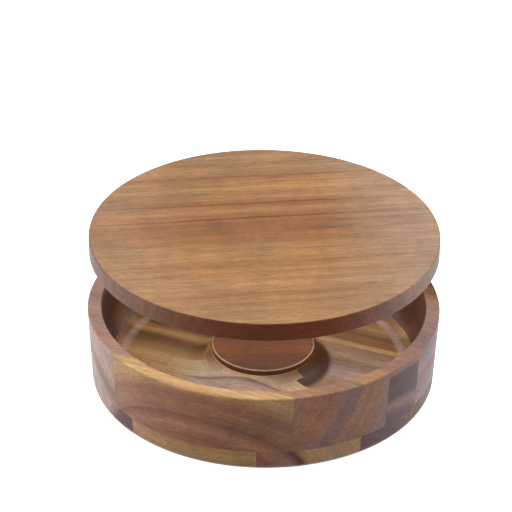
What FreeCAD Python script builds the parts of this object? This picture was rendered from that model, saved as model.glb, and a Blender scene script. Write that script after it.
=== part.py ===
import FreeCAD, Part
import math
import os
import Sketcher
from FreeCAD import Vector

# A chip and dip server of solid wood: a wide bowl with a ring-shaped moat for chips, a raised
# centre disc for the dip, and a flat lid.  The bowl is glued up from two courses of blocks and
# then turned: a base course under the moat floor and a wall course on top of it.  Both courses
# are laid in strips at one angle, with the glue lines of one staggered against the other's.
# The lid is edge-glued from six boards and has a shallow step underneath that drops inside the
# rim.
#
# +Z is up, -Y is the front, and the origin is the centre of the underside.  Angles are in
# degrees about Z, seen from above.  Lengths are in millimetres.

SIZES = [
    # turned bowl
    ("rim_radius", 140),
    ("foot_radius", 137),
    ("bowl_height", 67.5),
    ("wall_thickness", 11.5),
    ("moat_floor", 13),
    ("moat_round", 20),
    ("rim_rounding", 1.5),
    ("foot_rounding", 7),
    # hub in the middle of the bowl, and the disc glued on it
    ("hub_foot_radius", 60),
    ("hub_radius", 41.6),
    ("hub_height", 24),
    ("disc_radius", 41.2),
    ("disc_thickness", 5),
    ("disc_rounding", 1.6),
    ("spigot_radius", 15),
    ("spigot_length", 5),
    ("spigot_bore_depth", 5.5),
    # lid, shown lifted off the rim
    ("lid_radius", 137.5),
    ("lid_thickness", 15),
    ("lid_rounding", 1.2),
    ("lid_step_radius", 127),
    ("lid_step_depth", 4),
    ("lid_lift", 49.5),
    # the angle at which both courses are laid
    ("bowl_turn", -23),
    # base course: its height, and its glue lines measured across and along the strips
    ("base_course_height", 18),
    ("base_front_line", -76),
    ("base_middle_line", -24.5),
    ("base_back_line", 47.5),
    ("base_front_butt_left", -55.4),
    ("base_front_butt_right", 50.1),
    ("base_inner_butt_left", -67),
    ("base_inner_butt_right", 57),
    ("base_outer_butt", 5),
    ("base_back_butt", -20),
    # wall course: its glue lines measured across the strips
    ("wall_front_line", -117),
    ("wall_second_line", -55),
    ("wall_third_line", -18),
    ("wall_fourth_line", 47),
    ("wall_back_line", 105),
    # half the length over which a strip is searched for the hub, well inside the moat
    ("hub_reach", 75),
    # lid boards: equal boards, counted from the front
    ("lid_turn", 7.5),
    ("lid_first_line", -93),
    ("lid_board_width", 46),
    # how far a block is cut beyond the turned shape on its outer sides
    ("overcut", 160),
]

LID_INNER_BOARDS = 4

doc = FreeCAD.newDocument("chip_and_dip_server")
sheet = doc.addObject("Spreadsheet::Sheet", "sizes")
for row, (alias, value) in enumerate(SIZES, start=1):
    sheet.set("A%d" % row, alias)
    sheet.set("B%d" % row, str(value))
    sheet.setAlias("B%d" % row, alias)
doc.recompute()

size = dict(SIZES)
parts = []


# ---------------------------------------------------------------- sketch and body helpers

def origin_plane(body, role):
    """The body's own origin plane with the given role."""
    return next(f for f in body.Origin.OriginFeatures if f.Role == role)


def new_sketch(body, name, role):
    """An empty sketch on one of the body's origin planes."""
    sketch = body.newObject("Sketcher::SketchObject", name)
    sketch.AttachmentSupport = [(origin_plane(body, role), "")]
    sketch.MapMode = "FlatFace"
    return sketch


def dimension(sketch, alias, kind, *where):
    """A driving dimension of the sketch, bound to one cell of the sheet."""
    index = sketch.addConstraint(Sketcher.Constraint(kind, *where, size[alias]))
    sketch.renameConstraint(index, alias)
    sketch.setExpression("Constraints." + alias, "sizes." + alias)


def circle_sketch(body, name, alias):
    """A circle about the origin on the XY plane, with the radius in the given cell."""
    sketch = new_sketch(body, name, "XY_Plane")
    sketch.addGeometry(Part.Circle(Vector(), Vector(0, 0, 1), size[alias]))
    sketch.addConstraint(Sketcher.Constraint("Coincident", 0, 3, -1, 1))
    dimension(sketch, alias, "Radius", 0)
    return sketch


def pad(body, name, sketch, alias, downwards=False):
    """A pad of the sketch, with the length in the given cell."""
    feature = body.newObject("PartDesign::Pad", name)
    feature.Profile = sketch
    feature.Reversed = downwards
    feature.setExpression("Length", "sizes." + alias)
    doc.recompute()
    return feature


def ring_edges(shape, radius, z):
    """Names of the circular edges with this radius at this height."""
    names = []
    for number, edge in enumerate(shape.Edges, start=1):
        curve = edge.Curve
        if isinstance(curve, Part.Circle):
            if abs(curve.Radius - radius) < 1e-4 and abs(curve.Center.z - z) < 1e-4:
                names.append("Edge%d" % number)
    return names


def round_edges(body, name, rings, alias):
    """A fillet on the named rings (radius, height) of the body, which must be there."""
    base = body.Tip
    edges = [edge for radius, z in rings for edge in ring_edges(base.Shape, radius, z)]
    if len(edges) != len(rings):
        raise RuntimeError(name + " found %d edges for %d rings" % (len(edges), len(rings)))
    feature = body.newObject("PartDesign::Fillet", name)
    feature.Base = (base, edges)
    feature.setExpression("Radius", "sizes." + alias)
    doc.recompute()


# ---------------------------------------------------------------- turned shapes

def turned_bowl():
    """The whole bowl as one turning: outside, rim, moat and hub."""
    body = doc.addObject("PartDesign::Body", "bowl_turning")
    sketch = new_sketch(body, "bowl_profile", "XZ_Plane")
    inner = size["rim_radius"] - size["wall_thickness"]
    floor = size["moat_floor"]
    round_top = floor + size["moat_round"]
    floor_outer = inner - size["moat_round"]
    hub_foot = size["hub_foot_radius"]

    # the cove runs level into the moat floor and climbs to the edge of the hub
    run = hub_foot - size["hub_radius"]
    rise = size["hub_height"] - floor
    cove = (run * run + rise * rise) / (2 * rise)

    middle = Vector(0, 0, 0)
    foot = Vector(size["foot_radius"], 0, 0)
    rim_outer = Vector(size["rim_radius"], size["bowl_height"], 0)
    rim_inner = Vector(inner, size["bowl_height"], 0)
    wall_low = Vector(inner, round_top, 0)
    floor_out = Vector(floor_outer, floor, 0)
    floor_in = Vector(hub_foot, floor, 0)
    hub_edge = Vector(size["hub_radius"], size["hub_height"], 0)
    hub_middle = Vector(0, size["hub_height"], 0)

    moat_arc = Part.Arc(
        floor_out,
        Vector(floor_outer + size["moat_round"] * 0.6, round_top - size["moat_round"] * 0.8, 0),
        wall_low,
    )
    cove_middle = Vector(hub_foot - cove * 0.5, floor + cove - cove * 0.75 ** 0.5, 0)
    cove_arc = Part.Arc(hub_edge, cove_middle, floor_in)
    sketch.addGeometry([
        Part.LineSegment(middle, foot),
        Part.LineSegment(foot, rim_outer),
        Part.LineSegment(rim_outer, rim_inner),
        Part.LineSegment(rim_inner, wall_low),
        moat_arc,
        Part.LineSegment(floor_out, floor_in),
        cove_arc,
        Part.LineSegment(hub_edge, hub_middle),
        Part.LineSegment(hub_middle, middle),
    ])
    bottom, side, rim, wall, moat, level, cove_line, top, axis = range(9)

    def end_at(curve, point):
        """Which end of an arc lies at the point."""
        first = sketch.getPoint(curve, 1)
        return 1 if first.distanceToPoint(point) < 1e-6 else 2

    joins = [
        ("Coincident", bottom, 1, -1, 1),
        ("Coincident", bottom, 2, side, 1),
        ("Coincident", side, 2, rim, 1),
        ("Coincident", rim, 2, wall, 1),
        ("Tangent", wall, 2, moat, end_at(moat, wall_low)),
        ("Tangent", level, 1, moat, end_at(moat, floor_out)),
        ("Tangent", level, 2, cove_line, end_at(cove_line, floor_in)),
        ("Coincident", top, 1, cove_line, end_at(cove_line, hub_edge)),
        ("Coincident", top, 2, axis, 1),
        ("Coincident", axis, 2, bottom, 1),
        ("Horizontal", bottom),
        ("Horizontal", rim),
        ("Vertical", wall),
        ("Horizontal", level),
        ("Horizontal", top),
        ("Vertical", axis),
    ]
    for join in joins:
        sketch.addConstraint(Sketcher.Constraint(*join))
    dimension(sketch, "foot_radius", "DistanceX", bottom, 1, bottom, 2)
    dimension(sketch, "rim_radius", "DistanceX", -1, 1, side, 2)
    dimension(sketch, "bowl_height", "DistanceY", -1, 1, side, 2)
    dimension(sketch, "wall_thickness", "DistanceX", rim, 2, rim, 1)
    dimension(sketch, "moat_round", "Radius", moat)
    dimension(sketch, "moat_floor", "DistanceY", -1, 1, level, 2)
    dimension(sketch, "hub_foot_radius", "DistanceX", -1, 1, level, 2)
    dimension(sketch, "hub_radius", "DistanceX", -1, 1, top, 1)
    dimension(sketch, "hub_height", "DistanceY", -1, 1, top, 1)

    turning = body.newObject("PartDesign::Revolution", "bowl_revolution")
    turning.Profile = sketch
    turning.ReferenceAxis = (sketch, ["V_Axis"])
    turning.Angle = 360
    doc.recompute()
    rim_rings = [(size["rim_radius"], size["bowl_height"]), (inner, size["bowl_height"])]
    round_edges(body, "rim_fillet", rim_rings, "rim_rounding")
    round_edges(body, "foot_fillet", [(size["foot_radius"], 0)], "foot_rounding")
    return body


def turned_lid():
    """The lid as one turning: a flat disc with a shallow locating step underneath."""
    body = doc.addObject("PartDesign::Body", "lid_turning")
    disc = circle_sketch(body, "lid_outline", "lid_radius")
    pad(body, "lid_pad", disc, "lid_thickness")
    step = circle_sketch(body, "lid_step_outline", "lid_step_radius")
    pad(body, "lid_step_pad", step, "lid_step_depth", downwards=True)
    rings = [(size["lid_radius"], 0), (size["lid_radius"], size["lid_thickness"])]
    round_edges(body, "lid_fillet", rings, "lid_rounding")
    body.setExpression("Placement.Base.z", "sizes.bowl_height + sizes.lid_lift")
    return body


def centre_disc():
    """The raised disc in the middle, a separate turning with a spigot into the hub."""
    body = doc.addObject("PartDesign::Body", "centre_disc")
    outline = circle_sketch(body, "disc_outline", "disc_radius")
    pad(body, "disc_pad", outline, "disc_thickness")
    spigot = circle_sketch(body, "spigot_outline", "spigot_radius")
    pad(body, "spigot_pad", spigot, "spigot_length", downwards=True)
    rings = [(size["disc_radius"], size["disc_thickness"])]
    round_edges(body, "disc_fillet", rings, "disc_rounding")
    body.setExpression("Placement.Base.z", "sizes.hub_height")
    parts.append(body)


# ---------------------------------------------------------------- blocks cut from the turnings

def block(label, turning, turn, along, across, upright, finish=None):
    """One glued block: the part of a turning inside a box laid square to its course.

    along, across and upright are pairs of sheet expressions for the box's two ends on each
    axis, before the course is turned to its angle.
    """
    box = doc.addObject("Part::Box", label + "_blank")
    for axis, length, (low, high) in (
        ("x", "Length", along),
        ("y", "Width", across),
        ("z", "Height", upright),
    ):
        box.setExpression(length, "(%s) - (%s)" % (high, low))
        box.setExpression("Placement.Base." + axis, low)
    cut = doc.addObject("Part::Common", label)
    cut.Base = turning
    cut.Tool = box
    if finish:
        cut = finish(cut, label)
    cut.Label = label
    cut.setExpression("Placement.Rotation.Yaw", "sizes." + turn)
    parts.append(cut)


def spigot_bore(block_shape, label):
    """Bores the hub block for the centre disc's spigot."""
    bore = doc.addObject("Part::Cylinder", "spigot_bore")
    bore.setExpression("Radius", "sizes.spigot_radius")
    bore.setExpression("Height", "sizes.spigot_bore_depth")
    bore.setExpression("Placement.Base.z", "sizes.hub_height - sizes.spigot_bore_depth")
    block_shape.Label = label + "_unbored"
    drilled = doc.addObject("Part::Cut", label + "_bored")
    drilled.Base = block_shape
    drilled.Tool = bore
    return drilled


FAR_LOW = "-sizes.overcut"
FAR_HIGH = "sizes.overcut"


def base_course(bowl):
    """The base course: four strips of blocks with staggered butt joints."""
    upright = ("0", "sizes.base_course_height")
    inner = ["sizes.base_front_line", "sizes.base_middle_line", "sizes.base_back_line"]
    lines = [FAR_LOW] + inner + [FAR_HIGH]
    strips = [
        ("front", ["left", "middle", "right"], ["base_front_butt_left", "base_front_butt_right"]),
        ("inner", ["left", "middle", "right"], ["base_inner_butt_left", "base_inner_butt_right"]),
        ("outer", ["left", "right"], ["base_outer_butt"]),
        ("back", ["left", "right"], ["base_back_butt"]),
    ]
    for number, (strip, places, butts) in enumerate(strips):
        ends = [FAR_LOW] + ["sizes." + butt for butt in butts] + [FAR_HIGH]
        for index, place in enumerate(places):
            block(
                "base_%s_%s_block" % (strip, place), bowl, "bowl_turn",
                (ends[index], ends[index + 1]), (lines[number], lines[number + 1]), upright,
            )


def wall_course(bowl):
    """The wall course: a front and a back block, side blocks that the moat parts, and the hub."""
    upright = ("sizes.base_course_height", "sizes.bowl_height + sizes.rim_rounding")
    everywhere = (FAR_LOW, FAR_HIGH)
    names = ("front", "second", "third", "fourth", "back")
    front, second, third, fourth, back = ["sizes.wall_%s_line" % name for name in names]
    block("wall_front_block", bowl, "bowl_turn", everywhere, (FAR_LOW, front), upright)
    block("wall_back_block", bowl, "bowl_turn", everywhere, (back, FAR_HIGH), upright)
    for place, across in (("front", (front, second)), ("back", (fourth, back))):
        block("wall_%s_left_block" % place, bowl, "bowl_turn", (FAR_LOW, "0"), across, upright)
        block("wall_%s_right_block" % place, bowl, "bowl_turn", ("0", FAR_HIGH), across, upright)

    # the two strips that also cross the hub
    left = (FAR_LOW, "-sizes.hub_reach")
    middle = ("-sizes.hub_reach", "sizes.hub_reach")
    right = ("sizes.hub_reach", FAR_HIGH)
    for place, across in (("inner", (second, third)), ("outer", (third, fourth))):
        block("wall_%s_left_block" % place, bowl, "bowl_turn", left, across, upright)
        block("wall_%s_right_block" % place, bowl, "bowl_turn", right, across, upright)
    block("hub_front_block", bowl, "bowl_turn", middle, (second, third), upright)
    block("hub_back_block", bowl, "bowl_turn", middle, (third, fourth), upright, spigot_bore)


def lid_boards(lid):
    """Six boards across the lid, numbered from the front."""
    inner = ["sizes.lid_first_line + %d * sizes.lid_board_width" % n for n in range(LID_INNER_BOARDS + 1)]
    lines = [FAR_LOW] + inner + [FAR_HIGH]
    lid_base = "sizes.bowl_height + sizes.lid_lift"
    upright = (
        lid_base + " - sizes.lid_step_depth - sizes.lid_rounding",
        lid_base + " + sizes.lid_thickness + sizes.lid_rounding",
    )
    for number in range(len(lines) - 1):
        across = (lines[number], lines[number + 1])
        block("lid_board_%d" % (number + 1), lid, "lid_turn", (FAR_LOW, FAR_HIGH), across, upright)


# ---------------------------------------------------------------- build, check and write

bowl_turning = turned_bowl()
lid_turning = turned_lid()
base_course(bowl_turning)
wall_course(bowl_turning)
centre_disc()
lid_boards(lid_turning)
doc.recompute()

for item in doc.Objects:
    if "Invalid" in item.State or "Error" in item.State:
        raise RuntimeError(item.Label + " failed to compute")
for item in parts:
    if item.Shape.isNull() or not item.Shape.isValid() or len(item.Shape.Solids) != 1:
        raise RuntimeError(item.Label + " is not one sound solid")

whole = bowl_turning.Shape.Volume + lid_turning.Shape.Volume
pieces = sum(item.Shape.Volume for item in parts if item.Label != "centre_disc")
bored = math.pi * size["spigot_radius"] ** 2 * size["spigot_bore_depth"]
if abs(whole - pieces - bored) > 1:
    raise RuntimeError("the blocks do not add up to the turnings: %.1f" % (whole - pieces - bored))

os.makedirs("parts", exist_ok=True)
for item in parts:
    item.Shape.exportStep("parts/%s.step" % item.Label)
    print("%-28s %8.1f cm3" % (item.Label, item.Shape.Volume / 1000))
print(len(parts), "pieces")
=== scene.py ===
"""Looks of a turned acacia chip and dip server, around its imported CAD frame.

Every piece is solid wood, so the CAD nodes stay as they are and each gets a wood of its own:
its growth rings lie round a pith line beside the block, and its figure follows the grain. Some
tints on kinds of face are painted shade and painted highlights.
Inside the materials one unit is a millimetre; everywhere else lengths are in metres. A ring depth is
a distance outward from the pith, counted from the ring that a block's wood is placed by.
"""
import math

import bpy
from mathutils import Euler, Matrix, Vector


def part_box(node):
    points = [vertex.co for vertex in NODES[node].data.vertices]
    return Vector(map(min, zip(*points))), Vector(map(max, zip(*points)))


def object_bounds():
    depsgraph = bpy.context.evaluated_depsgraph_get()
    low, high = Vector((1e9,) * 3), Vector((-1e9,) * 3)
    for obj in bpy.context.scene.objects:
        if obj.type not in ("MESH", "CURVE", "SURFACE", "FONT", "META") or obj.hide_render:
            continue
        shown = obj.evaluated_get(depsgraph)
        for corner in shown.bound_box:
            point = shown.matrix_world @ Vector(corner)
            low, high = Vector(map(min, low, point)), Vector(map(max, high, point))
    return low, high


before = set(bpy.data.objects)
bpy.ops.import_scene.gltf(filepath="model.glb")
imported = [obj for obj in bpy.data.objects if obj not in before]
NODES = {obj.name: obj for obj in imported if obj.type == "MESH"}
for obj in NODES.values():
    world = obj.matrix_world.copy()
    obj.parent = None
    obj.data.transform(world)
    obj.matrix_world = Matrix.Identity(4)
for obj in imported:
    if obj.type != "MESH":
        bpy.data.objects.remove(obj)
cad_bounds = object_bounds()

MM_PER_M = 1000.0

# Direction of the grain, in degrees about +Z from +X.
BOWL_TURN = -23.0
LID_TURN = 7.5
DISC_TURN = 1.0

# The tone of a glue line, and how far from the joint, in mm, it starts and stops fading.
GLUE_TONE = 0.78
GLUE_CORE = 0.05
GLUE_EDGE = 0.30

# Sides closer than this, in mm, are glued together. A side with no neighbour counts as far off.
SAME_PLANE = 0.05
FAR_OFF = 10000.0

# Where the lid's boards meet, in mm across its grain.
LID_FIRST_LINE = -93.0
LID_BOARD_WIDTH = 46.0

# The gloss of the wood and of the thin lacquer on it. The wood is rougher in the dips of its surface
# than on the bumps, and RELIEF, how high those stand, is in metres.
SPECULAR = 0.25
COAT_WEIGHT = 0.12
COAT_ROUGHNESS = 0.22
COAT_IOR = 1.45
DIP_ROUGHNESS = 0.52
BUMP_ROUGHNESS = 0.40
RELIEF = 0.0002
RELIEF_STRENGTH = 0.25

# What the warmer patches of a wood are multiplied by, and the values of the cloud noise between which
# a patch warms up.
WARM = (1.05, 0.99, 0.92, 1.0)
WARM_FROM = 0.35
WARM_TO = 0.65

# How far each seed shifts the noises, in mm, so that woods with different seeds look different.
SEED_STEP = (37.0, 53.0, 71.0)

# Noises of the figure, in the grain frame: what x, y and z are multiplied by, the scale per mm,
# detail, roughness and distortion.
GRAIN_NOISES = {
    "streak": ((0.075, 1.0, 1.0), 0.36, 4.0, 0.7, 0.0),
    "fibre": ((0.22, 1.0, 1.0), 0.85, 2.0, 0.6, 0.0),
    "curl": ((1.0, 0.35, 0.35), 0.06, 2.0, 0.5, 0.4),
    "cloud": ((0.4, 1.0, 1.0), 0.03, 2.0, 0.5, 0.0),
    "pore": ((0.07, 1.0, 1.0), 1.3, 1.0, 0.5, 0.0),
}

# Noises that follow the growth rings: the scale per mm of ring depth, detail and roughness. The
# distance along the grain is multiplied by RING_STRETCH.
RING_NOISES = {
    "broad": (0.16, 2.0, 0.5),
    "narrow": (0.75, 3.0, 0.6),
}
RING_STRETCH = 0.012

# The tones that the noises give: from which value of the noise to which, from which tone to which.
# Pores show only where their noise is high.
TONES = {
    "broad": (0.34, 0.66, 0.91, 1.08),
    "narrow": (0.32, 0.68, 0.93, 1.05),
    "streak": (0.30, 0.70, 0.85, 1.11),
    "fibre": (0.30, 0.70, 0.86, 1.10),
    "curl": (0.32, 0.68, 0.94, 1.05),
    "cloud": (0.32, 0.68, 0.92, 1.07),
}
PORE_FROM = 0.63
PORE_TO = 0.70
PORE_TONE = 0.82

# What the surface's height is made of, and the heights that count as a dip and a bump.
FIBRE_HEIGHT = 0.5
STREAK_HEIGHT = 0.5
PORE_DEPTH = 0.6
DIP = 0.1
BUMP = 0.7

# How the rings wander from round, slowly and then finely: what x is multiplied by, the scale per mm,
# and the share of a wood's own warp.
WANDERINGS = [(0.3, 0.02, 1.0), (0.25, 0.13, 0.2)]

# Kinds of face, and stretches of a piece, that a tint can lie on. Each is a product of smooth steps:
# what it reads, where the step starts and ends, and its value at the start if that isn't 0. The value
# at the end is 1. The round between the moat's floor and its wall is one kind, and its pale tint is a
# painted highlight.
FACES = {
    "upright": [("level", 0.9, 0.5)],
    "top": [("up", 0.6, 0.9)],
    # On the disc this edge's pale tint is a painted highlight; on the lid it is a darker edge.
    "rounded": [("up", 0.97, 0.85), ("up", 0.2, 0.5)],
    # Painted shade: faces that look in toward the axis, inside the walls and the moat, are darkened as
    # the lid and walls would shade them.
    "inner shade": [("outward", -0.2, -0.8)],
    # The round between the moat's floor and its wall, where a pale tint is a painted highlight.
    "fillet highlight": [("outward", -0.02, -0.14), ("outward", -0.45, -0.25)],
    "end grain": [("endwise", 0.2, 0.8)],
    # Painted shade on faces that look right, deepening the dark of end grain there.
    "rightward shade and end-grain": [("rightward", 0.10, 0.36), ("rightward", 0.95, 0.70, 0.6)],
    # Painted sheen: the lid's ends along the grain are paler, as if catching glare.
    "sheen at both ends": [("distance", 40.0, 135.0)],
    "left end": [("along", -28.0, -64.0)],
    # Used for painted sheen: the lid grows paler toward its right.
    "right end": [("along", 30.0, 130.0)],
}

# How bright the light tent is low down and overhead.
TENT_LOW = 0.4
TENT_TOP = 1.0
TENT_COLOUR = (0.90, 0.94, 1.0, 1.0)
WHITE = (1.0, 1.0, 1.0, 1.0)

# The parts of a direction, each from -1 to 1, between which the tent brightens upward, the table
# brightens backward and dims to the right, and the tent gives way to the table.
TENT_RISE = (0.2, 1.0)
TABLE_BACKWARD = (-0.8, 0.3)
TABLE_RIGHTWARD = (-0.5, 0.5)
HORIZON = (0.0, -0.05)

# What the walls mirror of the white table behind the bowl, at its left, and the share of it at the right.
TABLE_GLOW = 1.3
TABLE_RIGHT = 0.8

# Softboxes: name, place, width and height, and power in watts. All point at one spot in the bowl.
SOFTBOXES = [
    ("left_light", (-1.1, 0.0, 0.62), (1.4, 1.15), 13.0),
    ("right_light", (1.1, 0.0, 0.62), (1.4, 1.15), 10.5),
    ("top_light", (0.0, 0.0, 1.6), (1.2, 1.2), 3.5),
]
LIT_SPOT = (0.0, 0.0, 0.07)

FLOOR_HALF = 6.0
FLOOR_GAP = 0.0002
FLOOR_COLOUR = (0.93, 0.93, 0.94)
FLOOR_ROUGHNESS = 0.6
FLOOR_SPECULAR = 0.2
FLOOR_GLOW = 0.9

# The camera: metres from the rim's centre, degrees above it, degrees of tilt, millimetres of lens and
# sensor, and the point it is aimed at.
CAMERA_DISTANCE = 1.9
CAMERA_ELEVATION = 31.4
CAMERA_TILT = 0.65
CAMERA_LENS = 167.9
CAMERA_SENSOR = 36.0
CAMERA_AIM = (-0.0065, 0.0, 0.1094)

# The woods' colours, as sRGB from 0 to 255.
COLOURS = {
    "straw": (186, 150, 102),
    "wheat": (178, 138, 88),
    "cream": (188, 160, 128),
    "gold": (166, 126, 80),
    "honey": (156, 114, 68),
    "tan": (156, 114, 80),
    "sand": (166, 129, 98),
    "olive": (102, 66, 30),
    "brown": (112, 66, 32),
    "umber": (76, 44, 30),
    "walnut": (74, 46, 34),
    "ink": (48, 31, 26),
    "rose": (142, 104, 90),
    "blush": (164, 134, 118),
    "copper": (143, 104, 83),
    "russet": (105, 57, 21),
    "mahogany": (108, 38, 6),
    "chestnut": (96, 52, 22),
    "plum": (136, 84, 70),
    "dark_plum": (94, 58, 52),
    "mauve": (158, 108, 84),
    "slate": (168, 140, 122),
    "dusk": (96, 72, 74),
    "pewter": (146, 124, 122),
    "taupe": (138, 106, 98),
    "shaded_dark_wood": (72, 38, 14),
    "oat": (168, 122, 84),
    "honey_tan": (172, 130, 86),
    "dull_gold": (128, 88, 52),
    "rosy_sheen": (186, 164, 148),
    "lid_end": (127, 95, 73),
    "lid_front": (164, 121, 79),
    "lid_mid": (155, 111, 68),
    "lid_gold": (163, 118, 72),
    "lid_brown": (141, 93, 52),
    "lid_dark": (112, 66, 36),
    "lid_pale": (160, 121, 85),
    "lid_sheen": (168, 132, 102),
}


def linear(name):
    """A named colour as linear RGBA."""
    channels = []
    for value in COLOURS[name]:
        share = value / 255.0
        channels.append(share / 12.92 if share <= 0.04045 else ((share + 0.055) / 1.055) ** 2.4)
    return (*channels, 1.0)


class Tree:
    """Adds nodes to a node tree. An input is a number, a tuple or another node's output."""

    def __init__(self, tree):
        self.tree = tree

    def fill(self, socket, value):
        if isinstance(value, bpy.types.NodeSocket):
            self.tree.links.new(value, socket)
        else:
            socket.default_value = value

    def add(self, kind, values=None, **settings):
        node = self.tree.nodes.new(kind)
        for name, value in settings.items():
            setattr(node, name, value)
        for key, value in (values or {}).items():
            self.fill(node.inputs[key], value)
        return node

    def math(self, operation, first, second=0.0):
        return self.add("ShaderNodeMath", {0: first, 1: second}, operation=operation).outputs[0]

    def vector(self, operation, first, second=(0.0, 0.0, 0.0)):
        node = self.add("ShaderNodeVectorMath", {0: first, 1: second}, operation=operation)
        return node.outputs["Value" if operation in ("LENGTH", "DOT_PRODUCT") else "Vector"]

    def split(self, vector):
        return self.add("ShaderNodeSeparateXYZ", {0: vector}).outputs

    def join(self, x, y, z):
        return self.add("ShaderNodeCombineXYZ", {0: x, 1: y, 2: z}).outputs[0]

    def ramp_up(self, value, start, end, low=0.0, high=1.0):
        """Goes smoothly from low to high as value goes from start to end."""
        values = {"Value": value, "From Min": start, "From Max": end, "To Min": low, "To Max": high}
        return self.add("ShaderNodeMapRange", values, interpolation_type="SMOOTHSTEP").outputs[0]

    def noise(self, point, scale, detail=2.0, roughness=0.5, distortion=0.0):
        values = {"Vector": point, "Scale": scale, "Detail": detail, "Roughness": roughness,
                  "Distortion": distortion}
        return self.add("ShaderNodeTexNoise", values).outputs

    def blend(self, kind, share, first, second):
        node = self.add("ShaderNodeMix", data_type="RGBA", blend_type=kind)
        for name, value in (("Factor_Float", share), ("A_Color", first), ("B_Color", second)):
            self.fill(next(s for s in node.inputs if s.identifier == name), value)
        return next(s for s in node.outputs if s.identifier == "Result_Color")

    def shade(self, colour, tone):
        """A colour times a number."""
        grey = self.add("ShaderNodeCombineColor", {0: tone, 1: tone, 2: tone}).outputs[0]
        return self.blend("MULTIPLY", 1.0, colour, grey)


def make_figure_group():
    """What all the wood shares: from a point in the grain frame and its ring depth, both in mm, the
    tone of the fine rings, fibres, curl and pores, the warmer patches, and the surface's height."""
    group = bpy.data.node_groups.new("wood_figure", "ShaderNodeTree")
    for name, kind in (("Point", "NodeSocketVector"), ("Depth", "NodeSocketFloat"),
                       ("Seed", "NodeSocketVector")):
        group.interface.new_socket(name, in_out="INPUT", socket_type=kind)
    for name in ("Tone", "Warmth", "Height"):
        group.interface.new_socket(name, in_out="OUTPUT", socket_type="NodeSocketFloat")
    tree = Tree(group)
    given = tree.add("NodeGroupInput").outputs
    result = tree.add("NodeGroupOutput").inputs

    point = tree.vector("ADD", given["Point"], given["Seed"])
    along = tree.math("MULTIPLY", tree.split(point)[0], RING_STRETCH)
    ring_point = tree.vector("ADD", tree.join(given["Depth"], along, 0.0), given["Seed"])
    noises = {name: tree.noise(ring_point, *settings)["Fac"] for name, settings in RING_NOISES.items()}
    for name, (squeeze, *settings) in GRAIN_NOISES.items():
        noises[name] = tree.noise(tree.vector("MULTIPLY", point, squeeze), *settings)["Fac"]
    pores = tree.ramp_up(noises["pore"], PORE_FROM, PORE_TO)

    tone = 1.0
    for name, steps in TONES.items():
        tone = tree.math("MULTIPLY", tone, tree.ramp_up(noises[name], *steps))
    tone = tree.math("MULTIPLY", tone, tree.ramp_up(pores, 0.0, 1.0, 1.0, PORE_TONE))
    tree.fill(result["Tone"], tone)
    tree.fill(result["Warmth"], tree.ramp_up(noises["cloud"], WARM_FROM, WARM_TO))

    height = tree.math("ADD", tree.math("MULTIPLY", noises["fibre"], FIBRE_HEIGHT),
                       tree.math("MULTIPLY", noises["streak"], STREAK_HEIGHT))
    tree.fill(result["Height"], tree.math("SUBTRACT", height, tree.math("MULTIPLY", pores, PORE_DEPTH)))
    return group


FIGURE = make_figure_group()


def grain_axes(turn):
    """Unit vectors along the grain and across it."""
    angle = math.radians(turn)
    return Vector((math.cos(angle), math.sin(angle), 0)), Vector((-math.sin(angle), math.cos(angle), 0))


def node_turn(name):
    if name.startswith("lid"):
        return LID_TURN
    if name == "centre_disc":
        return DISC_TURN
    return BOWL_TURN


def grain_extents(name):
    """Lowest and highest (along, across, up) of a node in its grain frame, in mm."""
    along, across = grain_axes(node_turn(name))
    points = [(v.co.dot(along), v.co.dot(across), v.co.z) for v in NODES[name].data.vertices]
    low = [MM_PER_M * min(p[axis] for p in points) for axis in range(3)]
    high = [MM_PER_M * max(p[axis] for p in points) for axis in range(3)]
    return low, high


EXTENTS = {name: grain_extents(name) for name in NODES}


def glue_planes(name):
    """The extents of a node, with each end or long side that meets no neighbour moved far off."""
    low, high = (list(corner) for corner in EXTENTS[name])
    others = [EXTENTS[n] for n in NODES if n != name and node_turn(n) == node_turn(name)]
    for axis in (0, 1):
        if not any(abs(other[1][axis] - low[axis]) < SAME_PLANE for other in others):
            low[axis] = -FAR_OFF
        if not any(abs(other[0][axis] - high[axis]) < SAME_PLANE for other in others):
            high[axis] = FAR_OFF
    return low, high


def glue_tone(tree, name, point):
    """Below 1 beside a glue line along or across the grain. The flat joint between the bowl's two
    courses shows no line."""
    low, high = glue_planes(name)
    gap = tree.vector("MINIMUM", tree.vector("SUBTRACT", point, tuple(low)),
                      tree.vector("SUBTRACT", tuple(high), point))
    gaps = tree.split(gap)
    return tree.ramp_up(tree.math("MINIMUM", gaps[0], gaps[1]), GLUE_CORE, GLUE_EDGE, GLUE_TONE, 1.0)


def ring_depth(tree, point, offset, at, toward, radius, warp, lean):
    """How far a point lies outside the growth ring that passes through at, in mm."""
    grow = Vector((0.0, *toward)).normalized()
    pith = Vector((0.0, *at)) - radius * grow
    bent = point
    for squeeze, scale, share in WANDERINGS:
        start = tree.vector("ADD", tree.vector("MULTIPLY", point, (squeeze, 1.0, 1.0)), offset)
        shift = tree.vector("SUBTRACT", tree.noise(start, scale)["Color"], (0.5,) * 3)
        reach = 2 * share * warp
        bent = tree.vector("ADD", bent, tree.vector("MULTIPLY", shift, (0.0, reach, reach)))
    along = tree.split(point)[0]
    climb = tree.join(0.0, *(tree.math("MULTIPLY", along, lean * grow[axis]) for axis in (1, 2)))
    from_pith = tree.vector("ADD", tree.vector("SUBTRACT", bent, tuple(pith)), climb)
    distance = tree.vector("LENGTH", tree.vector("MULTIPLY", from_pith, (0.0, 1.0, 1.0)))
    return tree.math("SUBTRACT", distance, radius)


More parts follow.
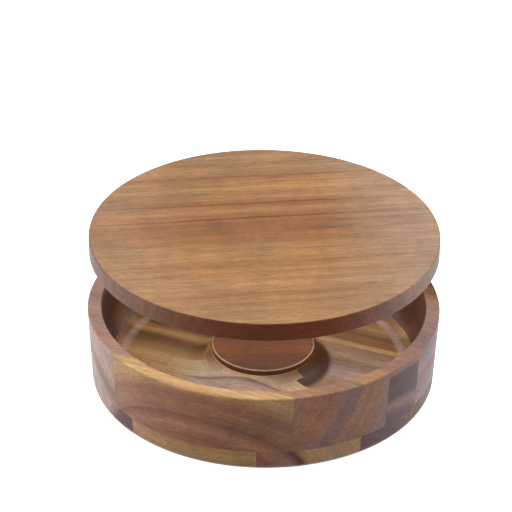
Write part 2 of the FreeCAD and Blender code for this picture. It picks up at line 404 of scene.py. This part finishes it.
def colour_ramp(tree, depth, bands):
    """The colour at a ring depth. bands are (depth in mm, colour name), from the pith outward."""
    low = bands[0][0]
    high = bands[-1][0]
    values = {"Value": depth, "From Min": low, "From Max": high}
    node = tree.add("ShaderNodeValToRGB", {"Fac": tree.add("ShaderNodeMapRange", values).outputs[0]})
    stops = node.color_ramp.elements
    node.color_ramp.interpolation = "EASE"
    stops[0].color = linear(bands[0][1])
    stops[1].color = linear(bands[-1][1])
    for stop, name in bands[1:-1]:
        stops.new((stop - low) / (high - low)).color = linear(name)
    return node.outputs["Color"]


def face_measures(tree, point, normal):
    """What FACES reads: which way a face looks, and where it is along the grain, in mm. Along the
    grain, the right end of a piece is the positive one."""
    facing = tree.split(normal)
    from_axis = tree.vector("NORMALIZE", tree.vector("MULTIPLY", point, (1.0, 1.0, 0.0)))
    along = tree.split(point)[0]
    return {"up": facing[2], "level": tree.math("ABSOLUTE", facing[2]),
            "rightward": facing[0], "endwise": tree.math("ABSOLUTE", facing[0]),
            "outward": tree.vector("DOT_PRODUCT", normal, from_axis),
            "along": along, "distance": tree.math("ABSOLUTE", along)}


def tinted(tree, colour, tints, measures):
    """A colour with other colours blended in on some kinds of face."""
    for kind, tint, share in tints:
        for what, start, end, *low in FACES[kind]:
            share = tree.math("MULTIPLY", tree.ramp_up(measures[what], start, end, *low), share)
        colour = tree.blend("MIX", share, colour, linear(tint))
    return colour


def wood(name, at, toward, bands, radius=160.0, warp=5.0, lean=0.0, seed=0.0, tints=()):
    """The wood of one node.

    at is a point (across, up) in mm where the ring depth is 0, toward the direction in which the rings
    grow there, radius their radius there. warp is how far, in mm, they wander from round. lean is how
    far the pith line moves away from the rings for each mm along the grain. bands colour the depths.
    tints are (kind of face, colour name, share): how much of that colour shows on faces of that kind,
    which is one of FACES.
    """
    material = bpy.data.materials.new(name + "_wood")
    material.use_nodes = True
    material.node_tree.nodes.clear()
    tree = Tree(material.node_tree)

    place = tree.add("ShaderNodeTexCoord").outputs
    turn_back = (0.0, 0.0, -math.radians(node_turn(name)))
    place_mm = tree.vector("MULTIPLY", place["Object"], (MM_PER_M,) * 3)
    point = tree.add("ShaderNodeMapping", {"Vector": place_mm, "Rotation": turn_back}).outputs[0]
    normal = tree.add("ShaderNodeMapping", {"Vector": place["Normal"], "Rotation": turn_back}).outputs[0]

    offset = tuple(seed * step for step in SEED_STEP)
    depth = ring_depth(tree, point, offset, at, toward, radius, warp, lean)
    figure = tree.add("ShaderNodeGroup", {"Point": point, "Depth": depth, "Seed": offset},
                      node_tree=FIGURE).outputs

    colour = colour_ramp(tree, depth, bands)
    if tints:
        colour = tinted(tree, colour, tints, face_measures(tree, point, normal))
    colour = tree.shade(colour, figure["Tone"])
    colour = tree.blend("MIX", figure["Warmth"], colour, tree.blend("MULTIPLY", 1.0, colour, WARM))
    colour = tree.shade(colour, glue_tone(tree, name, point))

    height = figure["Height"]
    bump = tree.add("ShaderNodeBump", {"Height": height, "Strength": RELIEF_STRENGTH, "Distance": RELIEF})
    shader = tree.add("ShaderNodeBsdfPrincipled", {
        "Base Color": colour, "Normal": bump.outputs[0],
        "Roughness": tree.ramp_up(height, DIP, BUMP, DIP_ROUGHNESS, BUMP_ROUGHNESS),
        "Specular IOR Level": SPECULAR, "Coat Weight": COAT_WEIGHT,
        "Coat Roughness": COAT_ROUGHNESS, "Coat IOR": COAT_IOR})
    tree.add("ShaderNodeOutputMaterial", {"Surface": shader.outputs[0]})

    mesh = NODES[name].data
    mesh.materials.clear()
    mesh.materials.append(material)


# Woods that no block needs to itself: how deep in mm each colour lies, from heart to bark.
GOLDEN = [(-60, "honey"), (-38, "gold"), (-22, "tan"), (-12, "gold"), (0, "honey"), (10, "gold"),
          (24, "sand"), (40, "gold"), (60, "tan")]
CREAMY = [(-50, "blush"), (-18, "blush"), (-12, "slate"), (-4, "slate"), (-1.2, "taupe"),
          (0.5, "cream"), (20, "cream"), (60, "sand")]
DUSKY = [(-60, "taupe"), (-38, "dusk"), (-26, "taupe"), (-18, "dusk"), (2, "dusk"), (7, "rose"),
         (20, "copper")]
ROSY = [(-60, "rose"), (-34, "pewter"), (-20, "rose"), (-8, "pewter"), (2, "rose"), (6, "taupe"),
        (24, "rose"), (60, "blush")]
OLIVE = [(-60, "olive"), (-30, "honey"), (-14, "olive"), (-4, "honey"), (6, "olive"), (14, "brown"),
         (60, "gold")]
BROWN = [(-60, "umber"), (-32, "brown"), (-18, "copper"), (-6, "brown"), (4, "umber"), (12, "brown"),
         (60, "tan")]

# The hub's front block and the base block under it are alike, so that the figure runs on from one to
# the other.
HUB_FRONT_WOOD = {"at": (-41, 13), "toward": (1.0, 0.2), "lean": -0.076, "warp": 4.0, "seed": 15.0,
                  "bands": CREAMY}


def paint_walls():
    """The upper course of the bowl, from the front round to the back."""
    wood("wall_front_block", at=(-140, 67.5), toward=(0.8, 1.0), warp=1.6, seed=1.0,
         tints=[("upright", "tan", 0.35)],
         bands=[(-60, "dark_plum"), (-46, "plum"), (-38, "mauve"), (-30, "plum"), (-24, "mauve"),
                (-19.5, "plum"), (-18, "dark_plum"), (-17, "plum"), (-10, "mauve"), (-6, "plum"),
                (-3.5, "plum"), (-1, "tan"), (1, "honey_tan"), (5, "straw"), (24, "straw")])
    wood("wall_front_right_block", at=(-88, 45), toward=(1.0, -0.35), warp=3.0, seed=2.0,
         tints=[("top", "tan", 0.7)],
         bands=[(-40, "taupe"), (-18, "mauve"), (-1, "taupe"), (5, "copper"), (20, "copper"),
                (26, "taupe"), (40, "taupe")])
    # Its faces that look in toward the axis get painted shade.
    wood("wall_front_left_block", at=(-80, 40), toward=(-0.4, 1.0), warp=3.0, seed=3.0,
         tints=[("inner shade", "brown", 1.0), ("top", "rose", 0.7)],
         bands=[(-60, "pewter"), (-34, "blush"), (-18, "pewter"), (-6, "blush"), (6, "rose"),
                (16, "blush"), (40, "blush")])
    wood("wall_inner_right_block", at=(-40, 58), toward=(0.1, 1.0), warp=5.0, seed=4.0, bands=DUSKY)
    # Its faces that look in toward the axis get painted shade.
    wood("wall_inner_left_block", at=(-40, 62), toward=(-0.1, 1.0), warp=2.0, seed=5.0,
         tints=[("inner shade", "ink", 0.7)],
         bands=[(-60, "dusk"), (-20, "walnut"), (-3, "dusk"), (4, "rose"), (20, "blush")])
    # Its faces that look in toward the axis get painted shade.
    wood("wall_outer_right_block", at=(20, 60), toward=(0.1, 1.0), warp=4.0, seed=6.0,
         tints=[("inner shade", "umber", 1.0)], bands=ROSY)
    # Its faces that look in toward the axis get painted shade.
    wood("wall_outer_left_block", at=(20, 60), toward=(-0.6, 1.0), warp=4.0, seed=7.0,
         tints=[("inner shade", "umber", 0.7)], bands=BROWN)
    # Its faces that look in toward the axis get painted shade.
    wood("wall_back_right_block", at=(80, 60), toward=(1.0, 0.6), warp=4.0, seed=8.0,
         tints=[("inner shade", "umber", 0.9)], bands=BROWN)
    wood("wall_back_left_block", at=(80, 40), toward=(0.6, 1.0), warp=4.0, seed=9.0, bands=GOLDEN)
    wood("wall_back_block", at=(140, 67.5), toward=(-0.6, 1.0), warp=4.0, seed=10.0, bands=OLIVE)


def paint_base():
    """The lower course of the bowl, whose top is the moat floor."""
    wood("base_front_left_block", at=(-105, 10), toward=(1.0, 0.3), warp=3.0, seed=11.0,
         bands=[(-40, "dark_plum"), (-12, "dark_plum"), (-8, "taupe"), (-3, "blush"), (30, "blush")])
    wood("base_front_middle_block", at=(-120, 18), toward=(-0.4, 1.0), warp=4.0, seed=12.0,
         bands=[(-40, "oat"), (-20, "honey_tan"), (-10, "oat"), (0, "honey_tan"), (8, "oat"),
                (30, "sand")])
    wood("base_front_right_block", at=(-115, 18), toward=(1.0, 0.5), warp=2.0, seed=13.0,
         bands=[(-30, "dark_plum"), (-14, "plum"), (-6, "rose"), (-1.5, "dark_plum"), (1, "tan"),
                (12, "sand"), (40, "tan")])
    # Its faces that look in toward the axis get painted shade.
    wood("base_inner_left_block", at=(-50, 14), toward=(0.4, 1.0), warp=4.0, seed=14.0,
         # A pale painted highlight along the round of the moat.
         tints=[("inner shade", "chestnut", 1.0), ("fillet highlight", "blush", 0.7)], bands=GOLDEN)
    wood("base_inner_middle_block", tints=[("left end", "gold", 0.85), ("end grain", "olive", 0.6)],
         **HUB_FRONT_WOOD)
    wood("base_inner_right_block", at=(-40, 13), toward=(0.6, 1.0), warp=4.0, seed=16.0,
         tints=[("end grain", "dusk", 0.9)],
         bands=[(-60, "rose"), (-10, "copper"), (4, "sand"), (30, "blush")])
    # Its faces that look in toward the axis get painted shade.
    wood("base_outer_left_block", at=(10, 13), toward=(0.9, 0.3), warp=4.0, seed=17.0,
         # A pale painted highlight along the round of the moat.
         tints=[("inner shade", "brown", 1.0), ("fillet highlight", "blush", 0.6)], bands=OLIVE)
    # Its faces that look right get painted shade over darker end grain.
    wood("base_outer_right_block", at=(20, 13), toward=(0.9, 0.3), warp=4.0, seed=18.0,
         tints=[("rightward shade and end-grain", "shaded_dark_wood", 1.0)],
         bands=[(-60, "sand"), (-30, "tan"), (-12, "blush"), (2, "copper"), (12, "sand"),
                (22, "copper"), (40, "tan")])
    wood("base_back_left_block", at=(90, 13), toward=(0.5, 1.0), warp=4.0, seed=19.0, bands=OLIVE)
    wood("base_back_right_block", at=(47.5, 13), toward=(1.0, 0.0), warp=3.0, seed=20.0,
         # A pale painted highlight along the round of the moat.
         tints=[("fillet highlight", "blush", 0.8)],
         # Darker gold further back, across the grain, is painted shade of the lid laid over the ring
         # figure.
         bands=[(-20, "wheat"), (0, "wheat"), (4, "honey_tan"), (9, "dull_gold"), (20, "dull_gold"),
                (30, "gold"), (44, "dull_gold"), (90, "tan")])


def paint_middle():
    """The hub and the disc on it."""
    wood("hub_front_block", tints=[("left end", "gold", 0.85), ("end grain", "brown", 0.9)],
         **HUB_FRONT_WOOD)
    # Its faces that look right get painted shade over darker end grain.
    wood("hub_back_block", at=(30, 30), toward=(0.6, 1.0), warp=5.0, seed=22.0,
         tints=[("rightward shade and end-grain", "shaded_dark_wood", 1.0)], bands=OLIVE)
    wood("centre_disc", at=(0, 31), toward=(1.0, 0.4), warp=3.0, seed=23.0,
         # The pale slate on the rounded edge is a painted highlight.
         tints=[("upright", "brown", 0.6), ("rounded", "slate", 1.0)],
         bands=[(-60, "russet"), (-25, "chestnut"), (-12, "russet"), (0, "russet"), (14, "chestnut"),
                (60, "russet")])


# The lid's boards from the front, each coloured in mm from its front glue line. Board 1 is the
# outermost and has only a back one, so its depths are negative.
LID_BANDS = [
    [(-50, "lid_front"), (-20, "lid_front"), (0, "lid_mid")],
    [(0, "lid_mid"), (14, "lid_front"), (30, "lid_mid"), (46, "lid_mid")],
    [(0, "lid_mid"), (6, "lid_gold"), (20, "lid_gold"), (28, "lid_mid"), (34, "lid_brown"),
     (46, "lid_brown")],
    [(0, "lid_brown"), (12, "lid_brown"), (20, "lid_brown"), (23, "lid_dark"), (25, "lid_brown"),
     (36, "lid_mid"), (44, "lid_brown"), (46, "lid_dark")],
    [(0, "lid_dark"), (3, "lid_brown"), (9, "lid_mid"), (26, "lid_gold"), (40, "lid_mid"),
     (46, "lid_brown")],
    [(0, "lid_brown"), (3, "lid_mid"), (14, "lid_pale"), (22, "lid_mid"), (32, "lid_pale"),
     (50, "lid_mid")],
]


def paint_lid():
    """The lid's boards. Their rings stand nearly upright, so they show as lines."""
    top = MM_PER_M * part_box("lid_board_1")[1].z
    for number, bands in enumerate(LID_BANDS, start=1):
        line = LID_FIRST_LINE + LID_BOARD_WIDTH * max(0, number - 2)
        wood("lid_board_%d" % number, at=(line, top), toward=(1.0, 0.25), radius=420.0, warp=2.0,
             seed=30.0 + number, bands=bands,
             # The paler tint at both ends along the grain is painted sheen.
             tints=[("sheen at both ends", "lid_sheen", 0.55), ("rounded", "walnut", 0.5),
                    ("upright", "mahogany", 0.92), ("end grain", "lid_end", 0.62),
                    # The rosy tint toward the right end is painted sheen.
                    ("right end", "rosy_sheen", 0.28)])


def floor_paint():
    material = bpy.data.materials.new("floor_paint")
    material.use_nodes = True
    shader = material.node_tree.nodes["Principled BSDF"]
    for name, value in (("Base Color", (*FLOOR_COLOUR, 1.0)), ("Roughness", FLOOR_ROUGHNESS),
                        ("Specular IOR Level", FLOOR_SPECULAR),
                        ("Emission Color", (*FLOOR_COLOUR, 1.0)), ("Emission Strength", FLOOR_GLOW)):
        shader.inputs[name].default_value = value
    return material


def make_floor():
    """A wide plain floor under the bowl. It glows, so it stays white, and only the camera sees it, so
    it sends no light up to the walls."""
    mesh = bpy.data.meshes.new("floor")
    corners = [(-FLOOR_HALF, -FLOOR_HALF, 0), (FLOOR_HALF, -FLOOR_HALF, 0), (FLOOR_HALF, FLOOR_HALF, 0),
               (-FLOOR_HALF, FLOOR_HALF, 0)]
    mesh.from_pydata(corners, [], [(0, 1, 2, 3)])
    mesh.materials.append(floor_paint())
    floor = bpy.data.objects.new("floor", mesh)
    floor.location.z = cad_bounds[0].z - FLOOR_GAP
    floor.visible_diffuse = False
    floor.visible_glossy = False
    bpy.context.scene.collection.objects.link(floor)


def softbox(name, place, size, power):
    light = bpy.data.lights.new(name, "AREA")
    light.shape = "RECTANGLE"
    light.size, light.size_y = size
    light.energy = power
    box = bpy.data.objects.new(name, light)
    box.location = place
    box.rotation_euler = (Vector(LIT_SPOT) - Vector(place)).to_track_quat("-Z", "Y").to_euler()
    box.visible_camera = False
    bpy.context.scene.collection.objects.link(box)


def light_studio():
    """A light tent, bright overhead and dim low down, over a white table, and its softboxes. The
    camera sees a plain white backdrop instead of the tent."""
    world = bpy.data.worlds.new("studio")
    world.use_nodes = True
    world.node_tree.nodes.clear()
    tree = Tree(world.node_tree)
    rightward, backward, upward = tree.split(tree.add("ShaderNodeTexCoord").outputs["Generated"])
    above = tree.ramp_up(upward, *TENT_RISE, TENT_LOW, TENT_TOP)
    below = tree.math("MULTIPLY", tree.ramp_up(backward, *TABLE_BACKWARD, TENT_LOW, TABLE_GLOW),
                      tree.ramp_up(rightward, *TABLE_RIGHTWARD, 1.0, TABLE_RIGHT))
    low_down = tree.ramp_up(upward, *HORIZON)
    strength = tree.math("ADD", tree.math("MULTIPLY", above, tree.math("SUBTRACT", 1.0, low_down)),
                         tree.math("MULTIPLY", below, low_down))
    seen = tree.add("ShaderNodeLightPath").outputs["Is Camera Ray"]
    tent = tree.add("ShaderNodeBackground", {"Color": TENT_COLOUR, "Strength": strength}).outputs[0]
    backdrop = tree.add("ShaderNodeBackground", {"Color": WHITE, "Strength": 1.0}).outputs[0]
    shown = tree.add("ShaderNodeMixShader", {0: seen, 1: tent, 2: backdrop}).outputs[0]
    tree.add("ShaderNodeOutputWorld", {"Surface": shown})
    bpy.context.scene.world = world
    for settings in SOFTBOXES:
        softbox(*settings)


def let_light_under_lid():
    """The lid neither shades the bowl nor is mirrored in it, so the bowl is lit as if it were open."""
    for name, node in NODES.items():
        if name.startswith("lid"):
            node.visible_shadow = False
            node.visible_diffuse = False
            node.visible_glossy = False


def make_camera():
    """The camera looks down at the rim, a little tilted."""
    elevation = math.radians(CAMERA_ELEVATION)
    rim_centre = Vector((0.0, 0.0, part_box("wall_front_block")[1].z))
    camera = bpy.data.cameras.new("camera")
    camera.sensor_width = CAMERA_SENSOR
    camera.lens = CAMERA_LENS
    viewer = bpy.data.objects.new("camera", camera)
    back_and_up = Vector((0.0, -math.cos(elevation), math.sin(elevation)))
    viewer.location = rim_centre + CAMERA_DISTANCE * back_and_up
    level = (Vector(CAMERA_AIM) - viewer.location).to_track_quat("-Z", "Y")
    tilt = Euler((0.0, 0.0, math.radians(CAMERA_TILT))).to_quaternion()
    viewer.rotation_euler = (level @ tilt).to_euler()
    bpy.context.scene.collection.objects.link(viewer)
    bpy.context.scene.camera = viewer


paint_walls()
paint_base()
paint_middle()
paint_lid()
make_floor()
light_studio()
let_light_under_lid()
make_camera()
bpy.context.scene.view_settings.view_transform = "Standard"
